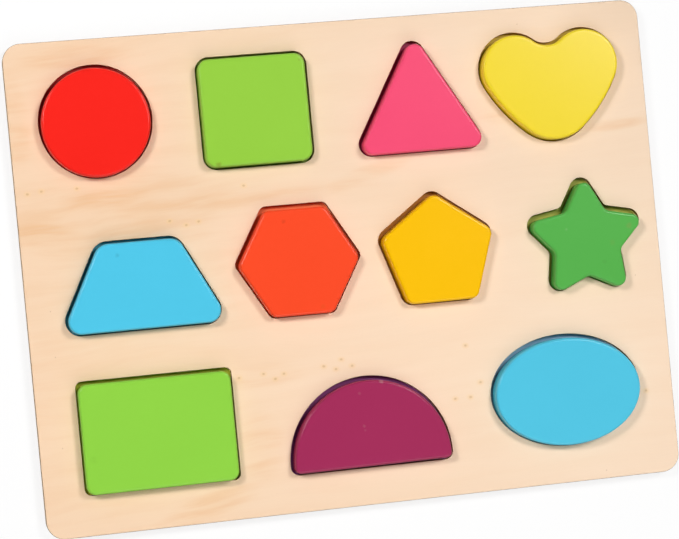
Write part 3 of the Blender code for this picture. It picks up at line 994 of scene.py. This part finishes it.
def make_recess_paint(shape, tree):
    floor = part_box("back_board")[1].z
    settings = {
        "Edge Round": FLOOR_PAINT_EDGE, "Rim Flat": RIM_FLAT,
        "Rim Steps": FLOOR_PAINT_RIM_STEPS, "Finish": recess_paint(shape),
    }
    outline = recess_outline(shape, inside=FLOOR_PAINT_INSET)
    shaped(
        shape.name + "_recess_floor", tree, [outline], floor, floor + FLOOR_PAINT_FILM,
        "board", settings,
    )


def make_board(tree):
    veneer, plain, edge, wall = face_veneer(), back_veneer(), ply_edge(), cut_wall()
    recesses = [recess_outline(shape) for shape in SHAPES]
    low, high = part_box("frame_board")
    settings = {
        "Top Round": BOARD_EDGE_ROUND, "Bottom Round": 0.0,
        "Cut Ease": RECESS_RIM_EASE, "Rim Flat": RIM_FLAT, "Rim Steps": PANEL_RIM_STEPS,
        "Top": veneer, "Underside": plain, "Edge": edge, "Cut": wall,
    }
    panel = shaped(
        "frame_panel", tree, [board_outline()] + recesses, low.z, high.z, "board", settings
    )
    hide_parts("frame_board")
    underside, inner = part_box("back_board")
    settings = {
        "Top Round": 0.0, "Bottom Round": BOARD_EDGE_ROUND,
        "Rim Flat": RIM_FLAT, "Rim Steps": PANEL_RIM_STEPS,
        "Top": plain, "Underside": plain, "Edge": edge, "Cut": wall,
    }
    panel = shaped("back_panel", tree, [board_outline()], underside.z, inner.z, "board", settings)
    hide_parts("back_board")
    seam = glue()
    settings = {
        "Top Round": 0.0, "Bottom Round": 0.0,
        "Rim Flat": RIM_FLAT, "Rim Steps": BOND_LINE_RIM_STEPS,
        "Top": seam, "Underside": seam, "Edge": seam, "Cut": wall,
    }
    outlines = [board_outline(BOND_LINE_INSET)]
    outlines += [recess_outline(shape, inside=-BOND_LINE_INSET) for shape in SHAPES]
    shaped("bond_line", tree, outlines, inner.z, low.z, "board", settings)


# Floor, light and camera: places in metres, turns in degrees


@dataclass
class Softbox:
    """A square lamp that faces the middle of the board: its side in metres, its power in watts."""

    name: str
    place: tuple
    side: float
    power: float


SOFTBOXES = (
    Softbox("left_softbox", (-0.534, 0.340, 0.735), 0.21, 4.15),
    Softbox("right_softbox", (0.654, 0.432, 1.250), 0.36, 8.9),
    Softbox("front_softbox", (0.150, -0.700, 0.800), 0.90, 5.0),
)
STUDIO_WALL_LEVEL = 0.04
STUDIO_WALL_TOP = 0.20
STUDIO_CEILING_LEVEL = 0.06
STUDIO_CEILING_START = 0.60

STUDIO_FLOOR_SIDE = 12.0
STUDIO_FLOOR_HEIGHT = -0.0001
STUDIO_FLOOR_WHITE = (252, 252, 252)
STUDIO_FLOOR_OWN_LIGHT = 0.8

CAMERA_PLACE = (-0.19188, -0.01287, 1.01487)
CAMERA_TURN = (0.7945, -10.3918, -5.5263)
SENSOR_WIDTH_MM = 36.0
LENS_MM = 117.52
LENS_SHIFT_UP = 0.0449
NEAREST_SEEN = 0.05
FARTHEST_SEEN = 50.0


def make_floor():
    """A plain white floor: a share of own light keeps it near white, and the rest takes the shadow."""
    ground = Finish("white_floor")
    path = ground.add("ShaderNodeLightPath", output="Is Camera Ray")
    seen = ground.math("MAXIMUM", path, path["Is Glossy Ray"])
    seen = ground.math("MAXIMUM", seen, path["Is Transmission Ray"])
    dust = ground.noise(60.0, 2.0)
    white = ground.tinted(rgb(STUDIO_FLOOR_WHITE), 1.0 + 0.01 * (dust - 0.5))
    matt = ground.add("ShaderNodeBsdfDiffuse", inputs={"Color": white})
    glow = ground.add("ShaderNodeEmission", inputs={"Color": grey(1.0), "Strength": 1.0})
    shining = STUDIO_FLOOR_OWN_LIGHT * seen
    surface = ground.add("ShaderNodeMixShader", inputs={0: shining, 1: matt, 2: glow})
    ground.add("ShaderNodeOutputMaterial", inputs={"Surface": surface})
    mesh = bpy.data.meshes.new("floor")
    corners = box_corners(STUDIO_FLOOR_SIDE, STUDIO_FLOOR_SIDE)
    mesh.from_pydata([(x, y, STUDIO_FLOOR_HEIGHT) for x, y in corners], [], [(0, 1, 2, 3)])
    mesh.materials.append(ground.material)
    floor = bpy.data.objects.new("floor", mesh)
    bpy.context.scene.collection.objects.link(floor)


def make_softbox(softbox):
    light = bpy.data.lights.new(softbox.name, "AREA")
    light.shape = "SQUARE"
    light.size = softbox.side
    light.energy = softbox.power
    lamp = bpy.data.objects.new(softbox.name, light)
    lamp.location = softbox.place
    lamp.rotation_euler = (-Vector(softbox.place)).to_track_quat("-Z", "Y").to_euler()
    bpy.context.scene.collection.objects.link(lamp)


def make_light():
    """Softboxes to the left and the right, a large one in front that fills their shadows, and the studio."""
    for softbox in SOFTBOXES:
        make_softbox(softbox)
    world = bpy.data.worlds.new("studio")
    world.use_nodes = True
    graph = Graph(world.node_tree)
    graph.tree.nodes.clear()
    rise = graph.split(graph.add("ShaderNodeTexCoord", output="Generated"))["Z"]
    ceiling = graph.ramp(rise, STUDIO_WALL_TOP, STUDIO_CEILING_START)
    colour = graph.mix(ceiling, grey(STUDIO_WALL_LEVEL), grey(STUDIO_CEILING_LEVEL))
    background = graph.add("ShaderNodeBackground", inputs={"Color": colour, "Strength": 1.0})
    graph.add("ShaderNodeOutputWorld", inputs={"Surface": background})
    bpy.context.scene.world = world


def make_camera():
    camera = bpy.data.cameras.new("camera")
    camera.sensor_width = SENSOR_WIDTH_MM
    camera.lens = LENS_MM
    camera.shift_y = LENS_SHIFT_UP
    camera.clip_start = NEAREST_SEEN
    camera.clip_end = FARTHEST_SEEN
    holder = bpy.data.objects.new("camera", camera)
    holder.location = CAMERA_PLACE
    holder.rotation_euler = [math.radians(angle) for angle in CAMERA_TURN]
    bpy.context.scene.collection.objects.link(holder)
    bpy.context.scene.camera = holder


def main():
    bpy.context.scene.view_settings.view_transform = "Standard"
    make_camera()
    make_light()
    make_floor()
    rim = rim_tree()
    block, panel = block_tree(rim), panel_tree(rim)
    make_board(panel)
    for shape in SHAPES:
        make_recess_paint(shape, block)
        make_block(shape, block)


main()
